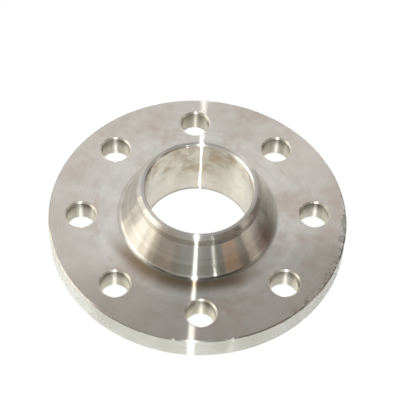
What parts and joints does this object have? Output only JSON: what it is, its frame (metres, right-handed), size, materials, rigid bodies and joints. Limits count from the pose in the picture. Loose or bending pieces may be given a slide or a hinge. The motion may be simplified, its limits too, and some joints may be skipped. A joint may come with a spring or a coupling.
{
  "type": "weld neck flange",
  "caption": "Stainless steel raised-face weld neck flange, with a bolted plate, a tapered hub and a bevelled neck that is butt-welded to a pipe.",
  "frame": {"origin": "centre of the raised sealing face, on the bore axis, at the part's lowest plane", "axes": "+Z along the bore axis from the sealing face to the weld end; +X and +Y through bolt holes"},
  "size_m": [0.185, 0.185, 0.045],
  "materials": {
    "stainless_steel": "satin"
  },
  "bodies": {
    "root": {"weld_neck_flange": "stainless_steel"}
  },
  "joints": []
}
